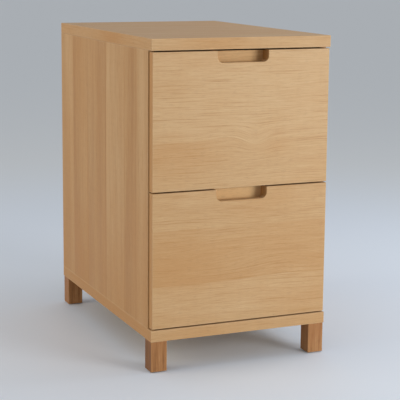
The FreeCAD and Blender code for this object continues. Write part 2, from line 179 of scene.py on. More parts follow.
cabinet_middle = (cad_box[0] + cad_box[1]) / 2
key_lamp = area_lamp("key_lamp", place=Vector((1.6, -2.6, 0.8)), target=cabinet_middle, width=1.2,
                     power=42.0, colour=linear(255, 252, 248))
fill_lamp = area_lamp("fill_lamp", place=Vector((-3.0, 0.3, 1.4)), target=cabinet_middle, width=1.8,
                      power=30.0, colour=linear(255, 236, 208))
top_lamp = area_lamp("top_lamp", place=Vector((1.3, -0.2, 1.5)), target=Vector((1.3, -0.2, 0.0)), width=0.8,
                     power=7.0, colour=linear(250, 252, 255))
print("lamps:", [lamp.name for lamp in (key_lamp, fill_lamp, top_lamp)])

# %% [markdown]
# Node trees are easier to read when one call adds a node, sets it up and links it.
# An input is given as a number, a colour or the output of another node, under the socket's name or place,
# and a list of outputs goes to a socket that takes several.

# %% Helper that adds a node
def node(tree, kind, inputs=None, **settings):
    """Add one node to a tree; its inputs are values or the outputs of other nodes."""
    made = tree.nodes.new(kind)
    for setting, value in settings.items():
        setattr(made, setting, value)
    for key, value in (inputs or {}).items():
        links = value if isinstance(value, list) else [value]
        for link in links:
            if isinstance(link, bpy.types.NodeSocket):
                tree.links.new(link, made.inputs[key])
            else:
                made.inputs[key].default_value = link
    return made


def result(tree, kind, inputs=None, **settings):
    """Add one node and give its first output."""
    return node(tree, kind, inputs, **settings).outputs[0]


def new_finish(name):
    """An empty material, its node tree and its shader."""
    finish = bpy.data.materials.new(name)
    finish.use_nodes = True
    return finish, finish.node_tree, finish.node_tree.nodes["Principled BSDF"]


print("node helper ready")

# %% [markdown]
# The sums that finishes are made of. Each helper adds one or two nodes and gives back their result, so that a
# finish reads like a short list of steps. Object coordinates are used throughout, because they stay with a
# piece when it moves.

# %% Helpers for sums and places
def maths(tree, operation, *values):
    """The result of one arithmetic node."""
    return result(tree, "ShaderNodeMath", dict(enumerate(values)), operation=operation)


def vector_maths(tree, operation, *values):
    """The result of one vector node; a length or a dot product is a plain number."""
    made = node(tree, "ShaderNodeVectorMath", dict(enumerate(values)), operation=operation)
    return made.outputs["Value" if operation in ("LENGTH", "DOT_PRODUCT") else "Vector"]


def times(tree, value, other):
    """One value times another."""
    return maths(tree, "MULTIPLY", value, other)


def total(tree, *values):
    """The sum of several values."""
    added = values[0]
    for value in values[1:]:
        added = maths(tree, "ADD", added, value)
    return added


def centred(tree, value, gain, base=0.0):
    """A value that lies about one half, as a swing about a base."""
    return maths(tree, "MULTIPLY_ADD", value, gain, base - gain / 2)


def span(tree, value, low, high, at_low=0.0, at_high=1.0, **settings):
    """A value between two limits, carried over to two others and held there."""
    limits = {"Value": value, "From Min": low, "From Max": high, "To Min": at_low, "To Max": at_high}
    return node(tree, "ShaderNodeMapRange", limits, **settings).outputs["Result"]


def object_place(tree):
    """The point on the piece, in metres."""
    return node(tree, "ShaderNodeTexCoord").outputs["Object"]


def split(tree, value):
    """The three parts of a vector."""
    return node(tree, "ShaderNodeSeparateXYZ", {0: value}).outputs


def vector(tree, x=0.0, y=0.0, z=0.0):
    """A vector from its three parts."""
    return result(tree, "ShaderNodeCombineXYZ", {0: x, 1: y, 2: z})


print("sum helpers ready")

# %% [markdown]
# A Mix node has a set of sockets for each kind of data under the same names, so they are told apart by their
# places. A colour ramp gives a colour at each share of a factor.

# %% Helpers for mixing
mix_sockets = {"VECTOR": (0, 4, 5), "RGBA": (0, 6, 7)}
mix_results = {"VECTOR": 1, "RGBA": 2}


def mix(tree, factor, first, second, kind="RGBA"):
    """One colour mixed with another, or one vector with another."""
    inputs = dict(zip(mix_sockets[kind], (factor, first, second)))
    return node(tree, "ShaderNodeMix", inputs, data_type=kind).outputs[mix_results[kind]]


def ramp(tree, factor, stops, blend="LINEAR"):
    """Colours at chosen shares of a factor."""
    made = node(tree, "ShaderNodeValToRGB", {0: factor})
    made.color_ramp.interpolation = blend
    elements = made.color_ramp.elements
    while len(elements) < len(stops):
        elements.new(1.0)
    for element, (share, colour) in zip(elements, stops):
        element.position = share
        element.color = colour
    return made.outputs["Color"]


print("mixing helpers ready")

# %% [markdown]
# The floor is a plain pale sheet, far larger than the view. Its colour changes slightly with the distance, as
# on a studio sweep, so that the cabinet's top stands out against it.

# %% Floor
floor_reach = 40.0
floor_near = 1.1
floor_far = 2.6
near_colour = linear(225, 235, 248)
far_colour = linear(228, 233, 237)
floor_roughness = 0.6

floor_corners = [(floor_reach * x, floor_reach * y, 0) for x, y in ((-1, -1), (1, -1), (1, 1), (-1, 1))]
floor_mesh = bpy.data.meshes.new("floor")
floor_mesh.from_pydata(floor_corners, [], [range(len(floor_corners))])
floor = bpy.data.objects.new("floor", floor_mesh)
bpy.context.scene.collection.objects.link(floor)
floor_finish, floor_tree, floor_shader = new_finish("pale_floor")
floor_distance = vector_maths(floor_tree, "LENGTH", object_place(floor_tree))
far_share = span(floor_tree, floor_distance, floor_near, floor_far, interpolation_type="SMOOTHSTEP")
floor_shade = mix(floor_tree, far_share, near_colour, far_colour)
floor_tree.links.new(floor_shade, floor_shader.inputs["Base Color"])
floor_shader.inputs["Roughness"].default_value = floor_roughness
floor_mesh.materials.append(floor_finish)
print("floor laid, metres each way:", floor_reach)

# %% [markdown]
# Oak veneer is thin leaves of wood laid side by side on a board, each with its own tone and slight slant.
# A photograph of wood would be quicker, but a procedural grain has no edges or repeats and suits any board.
# The grain needs three distances at each point: along the grain, across it and into the board.
# Which axis each one follows depends on the way a face looks, because a board's edges are banded with
# strips of veneer that run along the edge.

# %% Grain coordinates
X, Y, Z = 0, 1, 2
# A face that looks halfway between two axes has this part of its normal along each.
half_turned = math.sqrt(0.5)


def looking(tree, axis):
    """One where a face looks along an axis, either way, and zero elsewhere."""
    normal = node(tree, "ShaderNodeTexCoord").outputs["Normal"]
    size = maths(tree, "ABSOLUTE", split(tree, normal)[axis])
    return maths(tree, "GREATER_THAN", size, half_turned)


def grain_point(tree, faces):
    """The point along the grain, across it and into the board; faces gives two axes for each facing."""
    place = split(tree, object_place(tree))
    chosen = None
    for facing, (along, across) in faces.items():
        point = vector(tree, place[along], place[across], place[facing])
        if chosen is None:
            chosen = point
        else:
            chosen = mix(tree, looking(tree, facing), chosen, point, "VECTOR")
    return chosen


def stretched_noise(tree, point, counts, detail=2.0, roughness=0.5):
    """Noise with its own number of blotches per metre along, across and into the board."""
    scaled = vector_maths(tree, "MULTIPLY", point, counts)
    settings = {"Vector": scaled, "Scale": 1.0, "Detail": detail, "Roughness": roughness}
    return node(tree, "ShaderNodeTexNoise", settings).outputs["Fac"]


print("grain helpers ready")

# %% [markdown]
# A board is a little paler along its edges.
# On a board the distance to the nearest edge can be worked out from its own box:
# of the three distances to its faces, the middle one is small only near an edge.
# Stains and bends in the grain are soft ovals, highest in the middle, that fade out like a bell.

# %% Edges and spots
Spot = namedtuple("Spot", "along across reach_along reach_across strength")


def edge_share(tree, box, reach):
    """One on the edges of a box and zero beyond a reach from them."""
    middle = (box[0] + box[1]) / 2
    half_size = (box[1] - box[0]) / 2
    offset = vector_maths(tree, "SUBTRACT", object_place(tree), middle)
    inset = vector_maths(tree, "SUBTRACT", half_size, vector_maths(tree, "ABSOLUTE", offset))
    x, y, z = split(tree, inset)
    smaller = maths(tree, "MINIMUM", x, y)
    larger = maths(tree, "MAXIMUM", x, y)
    second = maths(tree, "MAXIMUM", smaller, maths(tree, "MINIMUM", larger, z))
    return span(tree, second, 0.0, reach, 1.0, 0.0)


def soft_spot(tree, point, spot):
    """A spot's strength in its middle, fading to zero far from it."""
    offset = vector_maths(tree, "SUBTRACT", point, (spot.along, spot.across, 0.0))
    per_reach = (1 / spot.reach_along, 1 / spot.reach_across, 0.0)
    scaled = vector_maths(tree, "MULTIPLY", offset, per_reach)
    square = vector_maths(tree, "DOT_PRODUCT", scaled, scaled)
    bell = maths(tree, "EXPONENT", times(tree, square, -1.0))
    return times(tree, bell, spot.strength)


print("edge and spot helpers ready")

# %% [markdown]
# All the woods here share one way of colouring. Wide bands and fine fibres shift the tone between a dark and
# a light colour, warm patches drift towards orange, short pores are darker and set in, and edges are paler.
# Only the colours and the layout of the grain change from one wood to the next.

# %% Colouring of wood
Bands = namedtuple("Bands", "strength counts")
fine_bands = Bands(strength=0.35, counts=(1.8, 60.0, 20.0))
tone_stops = {"dark": 0.0, "middle": 0.5, "light": 1.0}
line_counts = (8.0, 360.0, 60.0)
line_limits = (0.54, 0.70)
line_strength = 0.3
fibre_counts = (20.0, 620.0, 90.0)
fibre_strength = 0.8
pore_counts = (60.0, 2400.0, 400.0)
pore_limits = (0.6, 0.7)
pore_strength = 0.3
most_warmth = 0.8
pale_edge_reach = 0.0025
pale_edge_strength = 0.55
lacquer_roughness = 0.48
roughness_swing = 0.3
lacquer_shine = 0.25
fibre_height = 0.5
pore_depth = 1.5
relief_strength = 0.25
relief_height = 0.0002


def emboss(tree, shader, height, strength, depth):
    """Fine relief on a surface."""
    relief = {"Height": height, "Strength": strength, "Distance": depth}
    tree.links.new(result(tree, "ShaderNodeBump", relief), shader.inputs["Normal"])


def colour_wood(tree, shader, palette, box, fibre, tone, warm, contrast=1.0, banding=fine_bands):
    """Colour, sheen and relief of wood from its grain point, its mean tone and its warmth."""
    bands = stretched_noise(tree, fibre, banding.counts, roughness=0.6)
    lines = span(tree, stretched_noise(tree, fibre, line_counts), *line_limits)
    fibres = stretched_noise(tree, fibre, fibre_counts, detail=3.0, roughness=0.6)
    specks = stretched_noise(tree, fibre, pore_counts, detail=1.0)
    pores = span(tree, specks, *pore_limits, 0.0, pore_strength)
    tone = total(tree, tone,
                 centred(tree, bands, banding.strength * contrast),
                 centred(tree, fibres, fibre_strength * contrast),
                 times(tree, lines, -line_strength * contrast))
    colour = ramp(tree, tone, [(share, palette[shade]) for shade, share in tone_stops.items()])
    warm_share = result(tree, "ShaderNodeClamp", {"Value": warm, "Max": most_warmth})
    colour = mix(tree, warm_share, colour, palette["warm"])
    colour = mix(tree, pores, colour, palette["pore"])
    pale_edge_share = times(tree, times(tree, edge_share(tree, box, pale_edge_reach), fibres), pale_edge_strength)
    colour = mix(tree, pale_edge_share, colour, palette["light"])
    tree.links.new(colour, shader.inputs["Base Color"])
    tree.links.new(centred(tree, bands, roughness_swing, lacquer_roughness), shader.inputs["Roughness"])
    height = total(tree, centred(tree, fibres, fibre_height), times(tree, pores, -pore_depth))
    emboss(tree, shader, height, relief_strength, relief_height)
    shader.inputs["Specular IOR Level"].default_value = lacquer_shine
    return colour


print("wood colouring ready")

# %% [markdown]
# The veneer. A colour ramp with constant steps stores each leaf's tone, warmth and slant. Adding a leaf's own
# number to the distance along the grain gives every leaf a different piece of the same endless wood.
# Where a branch once grew, the grain flows round it in arches. Soft spots push the grain aside there, and
# other soft spots make the wood warmer: real stains on the fronts, painted shade low on the sides. Faces that
# look left and right can be painted darker and warmer as well, as painted shade.

# %% Oak veneer
Leaf = namedtuple("Leaf", "start tone warmth slant")
veneer_oak = {"dark": linear(171, 126, 75), "middle": linear(197, 161, 116), "light": linear(216, 187, 147),
              "warm": linear(187, 136, 80), "pore": linear(112, 74, 40)}
leaf_slant = 0.12
leaf_apart = 37.0
leaf_tone_swing = 0.6
plain_tone = 0.58
leaf_warmth_swing = 0.7
plain_warmth = 0.2
patch_counts = (3.0, 9.0, 9.0)
patch_warmth = 0.9
wander_counts = (3.2, 9.0, 9.0)
wander = 0.014
swell_counts = (1.9, 6.5, 6.5)


def dress(name, finish):
    """Give a finish to a piece of the construction model."""
    for slot in frame["nodes"][name].material_slots:
        slot.material = finish


def veneer(board, faces, leaves, swell, arches=(), stains_and_painted_shade=(), tone_shift=0.0,
           banding=fine_bands, palette=veneer_oak, painted_side_shade=0.0):
    """Dress a board in oak; one half is the plain middle of a leaf's tone, warmth and slant."""
    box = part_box(board)
    finish, tree, shader = new_finish("oak_" + board)
    point = grain_point(tree, faces)
    along, across, depth = split(tree, point)
    for arch in arches:
        across = maths(tree, "SUBTRACT", across, soft_spot(tree, point, arch))
    _, main_across = next(iter(faces.values()))
    share = span(tree, across, box[0][main_across], box[1][main_across])
    stops = [(leaf.start, (leaf.tone, leaf.warmth, leaf.slant, 1.0)) for leaf in leaves]
    own = node(tree, "ShaderNodeSeparateColor", {0: ramp(tree, share, stops, "CONSTANT")}).outputs
    slope = centred(tree, own["Blue"], leaf_slant)
    lean = total(tree, times(tree, along, slope), across)
    shift = total(tree, times(tree, own["Red"], leaf_apart), along)
    local = vector(tree, shift, lean, depth)
    ring = total(tree, lean,
                 centred(tree, stretched_noise(tree, local, wander_counts, detail=1.0), wander),
                 centred(tree, stretched_noise(tree, local, swell_counts, detail=1.0), swell))
    patches = stretched_noise(tree, local, patch_counts)
    warm = total(tree, centred(tree, own["Green"], leaf_warmth_swing, plain_warmth),
                 centred(tree, patches, patch_warmth))
    # Faces that look left and right are painted darker and warmer here: painted shade.
    if painted_side_shade:
        warm = total(tree, warm, times(tree, looking(tree, X), painted_side_shade))
    # Warm spots are real stains on the fronts and painted shade low on the side panels.
    for warm_spot in stains_and_painted_shade:
        warm = total(tree, warm, soft_spot(tree, point, warm_spot))
    tone = centred(tree, own["Red"], leaf_tone_swing, plain_tone + tone_shift)
    fibre = vector(tree, shift, ring, depth)
    colour_wood(tree, shader, palette, box, fibre, tone, warm, banding=banding)
    dress(board, finish)


print("oak veneer ready")

# %% [markdown]
# A drawer front is one board with lying leaves. The seams between the leaves, the arches in the grain and a
# few warm stains are what the eye takes in first, so those are placed one by one and the rest is left to
# noise.

# %% Drawer fronts
front_faces = {Y: (X, Z), X: (Z, Y), Z: (X, Y)}
front_swell = 0.02
# Painted shade, darker and warmer, on the faces that look left and right, such as the ends of the pulls.
front_painted_side_shade = 0.8
front_leaves = {
    "upper": [Leaf(0.0, 0.44, 0.46, 0.52), Leaf(0.35, 0.54, 0.38, 0.5)],
    "lower": [Leaf(0.0, 0.48, 0.58, 0.72), Leaf(0.31, 0.32, 0.68, 0.52), Leaf(0.72, 0.37, 0.60, 0.54)],
}
front_arches = {
    "upper": [Spot(-0.035, 0.38, 0.05, 0.03, 0.005), Spot(0.030, 0.34, 0.032, 0.03, -0.013),
              Spot(0.20, 0.36, 0.10, 0.04, 0.006)],
    "lower": [Spot(0.10, 0.44, 0.09, 0.03, 0.014), Spot(-0.16, 0.48, 0.06, 0.03, -0.008)],
}
front_stains = {
    "upper": [Spot(-0.16, 0.27, 0.10, 0.035, 0.35), Spot(0.08, 0.30, 0.04, 0.02, 0.2)],
    "lower": [Spot(0.18, 0.40, 0.07, 0.025, 0.2), Spot(-0.14, 0.40, 0.10, 0.08, 0.28)],
}


def spots(board, places):
    """Spots on a board whose place across is given as a share of the board's height."""
    low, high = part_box(board)
    return [spot._replace(across=low.z + spot.across * (high.z - low.z)) for spot in places]


for drawer in drawers:
    front = drawer + "_front"
    veneer(front, front_faces, front_leaves[drawer], front_swell, spots(front, front_arches[drawer]),
           spots(front, front_stains[drawer]), painted_side_shade=front_painted_side_shade)
print("leaves on the fronts:", {drawer: len(leaves) for drawer, leaves in front_leaves.items()})

# %% [markdown]
# Through each finger pull the front board of the drawer box shows. It is oak in the shade of the pull,
# painted brighter and warmer than the front, the lower one most, as painted light for the light reaching into
# the pulls.

# %% Walls behind the pulls
# A brighter, warmer palette than the front's: painted light on the walls behind the pulls.
painted_light_wall_oak = {"dark": linear(176, 126, 70), "middle": linear(202, 162, 109), "light": linear(231, 193, 139),
            "warm": linear(203, 146, 80), "pore": linear(112, 70, 34)}
wall_bands = Bands(strength=0.8, counts=fine_bands.counts)
wall_swell = 0.01
# Painted shade on the faces of the walls that look left and right.
wall_painted_side_shade = 0.5
# The lower wall's leaves are brighter and warmer than the upper's: painted light.
wall_leaves = {"upper": [Leaf(0.0, 0.50, 0.46, 0.5), Leaf(0.5, 0.46, 0.44, 0.52)],
               "lower": [Leaf(0.0, 0.62, 0.68, 0.5), Leaf(0.5, 0.66, 0.70, 0.52)]}
# The tone shifts brighten the walls as painted light, the lower wall most.
wall_painted_light_shifts = {"upper": 0.14, "lower": 0.55}
for drawer in drawers:
    veneer(drawer + "_box_front", front_faces, wall_leaves[drawer], wall_swell,
           tone_shift=wall_painted_light_shifts[drawer], banding=wall_bands, palette=painted_light_wall_oak,
           painted_side_shade=wall_painted_side_shade)
print("walls behind pulls:", len(drawers))

# %% [markdown]
# The side panels have standing leaves of many widths with narrow dark streaks at some seams and wider bands
# than the fronts. They are painted darker, and darker and warmer towards the floor, as painted shade. The
# right side isn't seen from the front, so its leaves are plainer.

# %% Side panels
side_faces = {X: (Z, Y), Y: (Z, X), Z: (X, Y)}
side_swell = 0.02
# The sides are painted darker than the fronts: painted shade.
side_painted_shade_shift = -0.14
wide_bands = Bands(strength=1.3, counts=(0.9, 24.0, 8.0))
# A darker, warmer band low on the sides: painted shade where the light falls off towards the floor.
side_painted_shade = [Spot(0.10, 0.0, 0.25, 1.0, 0.34)]
side_leaves = {
    "left": [Leaf(0.0, 0.48, 0.62, 0.5), Leaf(0.112, 0.15, 0.70, 0.5), Leaf(0.12, 0.34, 0.66, 0.52),
             Leaf(0.232, 0.10, 0.70, 0.5), Leaf(0.24, 0.56, 0.58, 0.49), Leaf(0.44, 0.08, 0.70, 0.5),
             Leaf(0.452, 0.46, 0.62, 0.5), Leaf(0.655, 0.15, 0.80, 0.5), Leaf(0.668, 0.34, 0.80, 0.51),
             Leaf(0.84, 0.46, 0.76, 0.5)],
    "right": [Leaf(0.0, 0.45, 0.5, 0.5), Leaf(0.3, 0.55, 0.42, 0.52), Leaf(0.53, 0.5, 0.55, 0.47),
              Leaf(0.77, 0.4, 0.5, 0.5)],
}
for hand in hands:
    veneer("side_panel_" + hand, side_faces, side_leaves[hand], side_swell, stains_and_painted_shade=side_painted_shade,
           tone_shift=side_painted_shade_shift, banding=wide_bands)
print("leaves on the sides:", {hand: len(leaves) for hand, leaves in side_leaves.items()})

# %% [markdown]
# The top and the base run from side to side, so that all the grain seen from the front follows one direction.
# The back panel is thin and stands in grooves, and its grain runs upwards.

# %% Top, base and back
flat_faces = {Z: (X, Y), Y: (X, Z), X: (Y, Z)}
flat_swell = 0.03
flat_leaves = [Leaf(0.0, 0.5, 0.48, 0.5), Leaf(0.27, 0.45, 0.52, 0.52), Leaf(0.55, 0.44, 0.60, 0.48),
               Leaf(0.8, 0.42, 0.62, 0.5)]
flat_stains = {"top_panel": [Spot(-0.06, 0.673, 0.08, 0.05, 0.25)],
               "base_panel": [Spot(-0.12, 0.078, 0.08, 0.05, 0.12)]}
# Painted shade on the faces that look left and right, strongest on the base.
flat_painted_side_shade = {"top_panel": 0.12, "base_panel": 0.6}
for panel, stains_and_painted_shade in flat_stains.items():
    veneer(panel, flat_faces, flat_leaves, flat_swell, stains_and_painted_shade=stains_and_painted_shade, painted_side_shade=flat_painted_side_shade[panel])
back_faces = {Y: (Z, X), X: (Z, Y), Z: (X, Y)}
back_swell = 0.04
veneer("back_panel", back_faces, side_leaves["right"], back_swell)
print("flat panels:", list(flat_stains))

# %% [markdown]
# The legs are solid oak, darker and redder than the veneer. Solid wood shows the same growth rings on every
# face, straight on the sides and as arcs under the foot, so its grain comes from the distance to the trunk's
# heart line, a line that stands beside the leg. The left and right faces of a leg can have a tone of their
# own, a painted shade that stands in for the light falling differently on them.

# %% Solid wood
leg_oak = {"dark": linear(118, 78, 42), "middle": linear(162, 113, 67), "light": linear(190, 145, 98),
           "warm": linear(158, 101, 56), "pore": linear(84, 50, 28)}
leg_contrast = 1.3
# The second tone of each leg is painted shade on its faces that look left and right.
leg_tones_and_side_shade = {"front_left": (0.55, 0.1), "front_right": (0.75, 0.6), "back_left": (0.6, 0.6),
             "back_right": (0.5, 0.5)}
heart_offset = Vector((0.05, 0.08, 0.0))
ring_wander = 0.004
ring_wander_counts = (14.0, 14.0, 4.0)
solid_warmth = 0.25
solid_warmth_swing = 1.4


def solid_wood(name, palette, box, grain_axis, heart, contrast, tone, painted_side_tone):
    """Wood with growth rings round a heart line; painted_side_tone is a painted shade for the faces that look
    left and right.
    """
    finish, tree, shader = new_finish(name)
    place = object_place(tree)
    offset = vector_maths(tree, "SUBTRACT", place, heart)
    crosswise = tuple(0.0 if axis == grain_axis else 1.0 for axis in (X, Y, Z))
    distance = vector_maths(tree, "LENGTH", vector_maths(tree, "MULTIPLY", offset, crosswise))
    waver = centred(tree, stretched_noise(tree, place, ring_wander_counts, detail=1.0), ring_wander)
    fibre = vector(tree, split(tree, place)[grain_axis], total(tree, distance, waver))
    warm = centred(tree, stretched_noise(tree, place, patch_counts), solid_warmth_swing, solid_warmth)
    # Painted shade: faces that look left and right take their own tone.
    if painted_side_tone != tone:
        tone = span(tree, looking(tree, X), 0.0, 1.0, tone, painted_side_tone)
    colour_wood(tree, shader, palette, box, fibre, tone, warm, contrast)
    return finish


for leg, (tone, painted_side_tone) in leg_tones_and_side_shade.items():
    leg_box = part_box("leg_" + leg)
    leg_heart = leg_box[1] + heart_offset
    leg_finish = solid_wood("oak_leg_" + leg, leg_oak, leg_box, Z, leg_heart, leg_contrast, tone, painted_side_tone)
    dress("leg_" + leg, leg_finish)
print("legs:", len(leg_tones_and_side_shade))

# %% [markdown]
# The drawer boxes are birch plywood. Its faces are pale veneer, and its cut edges show the plies, which lie
# crosswise in turn, so every second one shows darker end grain between thin glue lines.
# The plies could be modelled as thin sheets, but a ramp that repeats through the thickness looks the same.

# %% Birch plywood
birch = {"dark": linear(203, 168, 124), "middle": linear(221, 191, 150), "light": linear(233, 208, 172),
         "warm": linear(212, 172, 128), "pore": linear(170, 130, 90)}
birch_tone = 0.55
birch_contrast = 0.8
birch_warmth = 0.12
birch_warmth_swing = 1.2
glue_line = linear(126, 92, 60)
long_ply = linear(222, 192, 152)
cross_ply = linear(176, 136, 94)
plies_in_pair = 2
ply_pair = [(0.0, glue_line), (0.05, long_ply), (0.5, glue_line), (0.55, cross_ply)]
speck_counts = (900.0, 900.0, 900.0)
speck_limits = (0.5, 0.75)
speck_strength = 0.5


def plywood(board, faces, layer_axis, plies):
    """Dress a board in birch, with veneer on its faces and plies along its edges."""
    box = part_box(board)
    finish, tree, shader = new_finish("birch_" + board)
    point = grain_point(tree, faces)
    waver = centred(tree, stretched_noise(tree, point, wander_counts, detail=1.0), wander)
    along, across, depth = split(tree, point)
    fibre = vector(tree, along, total(tree, across, waver), depth)
    warm = centred(tree, stretched_noise(tree, point, patch_counts), birch_warmth_swing, birch_warmth)
    face_colour = colour_wood(tree, shader, birch, box, fibre, birch_tone, warm, birch_contrast)
    place = object_place(tree)
    low, high = box[0][layer_axis], box[1][layer_axis]
    pairs = span(tree, split(tree, place)[layer_axis], low, high, 0.0, plies / plies_in_pair)
    layers = ramp(tree, maths(tree, "FRACT", pairs), ply_pair, "CONSTANT")
    specks = span(tree, stretched_noise(tree, place, speck_counts), *speck_limits, 0.0, speck_strength)
    layers = mix(tree, specks, layers, birch["pore"])
    shown = mix(tree, looking(tree, layer_axis), layers, face_colour)
    tree.links.new(shown, shader.inputs["Base Color"])
    dress(board, finish)


print("plies before the colours repeat:", plies_in_pair)

# %% [markdown]
# A drawer box has thick walls and a thinner bottom, so they differ in the number of plies. Each board says
# which way its plies are stacked, which is through its thickness.

# %% Drawer boxes
box_side_faces = {X: (Y, Z), Y: (Z, X), Z: (Y, X)}
wall_plies = 9
bottom_plies = 5
for drawer in drawers:
    for hand in hands:
        plywood(drawer + "_box_side_" + hand, box_side_faces, X, wall_plies)
    plywood(drawer + "_box_back", front_faces, Y, wall_plies)
    plywood(drawer + "_box_floor", flat_faces, Z, bottom_plies)
print("plies in walls and bottoms:", wall_plies, bottom_plies)

# %% [markdown]
# Metal parts. Zinc-plated steel is not evenly bright: rolling leaves faint lines along the sheet, the plating
# is cloudy, and handling marks change its sheen. The same function gives steel balls, screws and brass.

# %% Metals
roll_strength = 0.8
cloud_strength = 1.4
cloud_middle = 0.5
cloud_roughness = -0.25
roll_roughness = 0.15
roll_relief = 0.12
roll_height = 0.0001


def metal(name, bright, dull, roughness, roll_counts, cloud_count):
    """Metal with rolling lines, cloudy plating and an uneven sheen."""
    finish, tree, shader = new_finish(name)
    place = object_place(tree)
    lines = stretched_noise(tree, place, roll_counts)
    clouds = stretched_noise(tree, place, (cloud_count, cloud_count, cloud_count), detail=3.0, roughness=0.6)
    mixed = total(tree, centred(tree, lines, roll_strength),
                  centred(tree, clouds, cloud_strength, cloud_middle))
    tree.links.new(mix(tree, span(tree, mixed, 0.0, 1.0), dull, bright), shader.inputs["Base Color"])
    uneven = total(tree, centred(tree, clouds, cloud_roughness, roughness),
                   centred(tree, lines, roll_roughness))
    tree.links.new(uneven, shader.inputs["Roughness"])
    emboss(tree, shader, lines, roll_relief, roll_height)
    shader.inputs["Metallic"].default_value = 1.0
    return finish


along_slide = (900.0, 6.0, 900.0)
all_round = (700.0, 700.0, 700.0)
zinc = metal("zinc_plated_sheet", bright=linear(206, 208, 210), dull=linear(170, 173, 176), roughness=0.34,
             roll_counts=along_slide, cloud_count=60.0)
cage_zinc = metal("cage_strip", bright=linear(188, 186, 180), dull=linear(150, 148, 142), roughness=0.4,
                  roll_counts=along_slide, cloud_count=90.0)
ball_steel = metal("ball_steel", bright=linear(226, 228, 230), dull=linear(196, 198, 200), roughness=0.14,
                   roll_counts=all_round, cloud_count=400.0)
screw_zinc = metal("screw_zinc", bright=linear(214, 207, 186), dull=linear(176, 166, 140), roughness=0.3,
                   roll_counts=all_round, cloud_count=300.0)
brass = metal("insert_brass", bright=linear(222, 182, 108), dull=linear(176, 134, 70), roughness=0.32,
              roll_counts=all_round, cloud_count=200.0)
print("metals:", [finish.name for finish in (zinc, cage_zinc, ball_steel, screw_zinc, brass)])

# %% [markdown]
# A telescopic slide has three sheet members that run in each other on rows of steel balls, and thin strips,
# the cages, keep the balls apart. Brass inserts in the base panel take the studs of the legs.

# %% Slides and inserts
for drawer in drawers:
    for hand in hands:
        for member in ("outer", "middle", "inner"):
            dress(drawer + "_slide_" + member + "_" + hand, zinc)
    for row in ("outer", "inner"):
        dress(drawer + "_" + row + "_cages", cage_zinc)
        dress(drawer + "_" + row + "_balls", ball_steel)
dress("leg_inserts", brass)
print("slides dressed:", len(drawers) * len(hands))

# %% [markdown]
# Plastic and rubber parts are small but close to the hand: the file rails are moulded in dark grey with a
# fine eggshell texture, the bumpers are soft clear-grey dots and the glides are scuffed brown discs.
# A flat colour would look like a toy, so rubbed patches and a fine relief break it up.

# %% Plastics and rubber
rubbed_counts = (40.0, 40.0, 40.0)
rubbed_limits = (0.45, 0.75)
rubbed_strength = 0.6
rubbed_roughness = -0.3
speckle_strength = 0.3
speckle_relief = 0.3


def moulded(name, colour, worn_colour, roughness, texture_depth, speckle_count):
    """Moulded plastic or rubber with a fine texture and rubbed patches."""
    finish, tree, shader = new_finish(name)
    place = object_place(tree)
    speckle = stretched_noise(tree, place, (speckle_count, speckle_count, speckle_count))
    rubbed = stretched_noise(tree, place, rubbed_counts, detail=3.0, roughness=0.65)
    share = total(tree, span(tree, rubbed, *rubbed_limits, 0.0, rubbed_strength),
                  centred(tree, speckle, speckle_strength))
    worn_share = result(tree, "ShaderNodeClamp", {"Value": share})
    tree.links.new(mix(tree, worn_share, colour, worn_colour), shader.inputs["Base Color"])
    tree.links.new(centred(tree, rubbed, rubbed_roughness, roughness), shader.inputs["Roughness"])
    emboss(tree, shader, speckle, speckle_relief, texture_depth)
    return finish


rail_plastic = moulded("rail_plastic", colour=linear(58, 58, 60), worn_colour=linear(84, 84, 86),
                       roughness=0.5, texture_depth=0.0001, speckle_count=2500.0)
bumper_rubber = moulded("bumper_rubber", colour=linear(205, 203, 196), worn_colour=linear(184, 180, 170),
                        roughness=0.4, texture_depth=0.00005, speckle_count=1500.0)
glide_plastic = moulded("glide_plastic", colour=linear(92, 70, 52), worn_colour=linear(124, 102, 84),
                        roughness=0.55, texture_depth=0.0001, speckle_count=1200.0)
for drawer in drawers:
    for hand in hands:
        dress(drawer + "_file_rail_" + hand, rail_plastic)
    dress(drawer + "_bumpers", bumper_rubber)
dress("foot_glides", glide_plastic)
print("moulded finishes:", [finish.name for finish in (rail_plastic, bumper_rubber, glide_plastic)])

# %% [markdown]
# Dowels, screws and studs repeat many times, so Geometry Nodes make each kind once and set it on every place.
# The places are read from the construction model: a copy of a node's mesh is merged and split into its
# solids, and each solid's box says where its piece sits and how long it is.

# %% Places of repeated pieces
merge_reach = 1e-6


def solid_boxes(name):
    """The lowest and highest corner of each separate solid of a node."""
    mesh = bmesh.new()
    mesh.from_mesh(frame["nodes"][name].data)
    bmesh.ops.remove_doubles(mesh, verts=mesh.verts[:], dist=merge_reach)
    waiting = set(mesh.verts)
    boxes = []
    while waiting:
        found = [waiting.pop()]
        for vertex in found:
            near = {edge.other_vert(vertex) for edge in vertex.link_edges} & waiting
            waiting -= near
            found += near
        low = Vector([min(vertex.co[axis] for vertex in found) for axis in (X, Y, Z)])
        high = Vector([max(vertex.co[axis] for vertex in found) for axis in (X, Y, Z)])
        boxes.append((low, high))
    mesh.free()
    return sorted(boxes, key=lambda box: tuple(box[0]))


repeated = ["carcass_dowels", "leg_dowels", "leg_bolts", "slide_cabinet_screws"]
print({name: len(solid_boxes(name)) for name in repeated})

# %% [markdown]
# Every tree takes the places, some named sizes and a finish. It ends the same way: the piece is set on each
# place, turned to face the way the place says, spun by a fixed random angle, made real and given its finish.
# Sharp bends between faces stay crisp, and gentle ones are shaded smooth.

# %% Start and end of a tree
spin_seed = 7
full_turn = 2 * math.pi
crease_angle = math.radians(35)
# The places of a Random Value node's sockets for plain numbers.
random_most = 3
random_seed = 8
random_number = 1


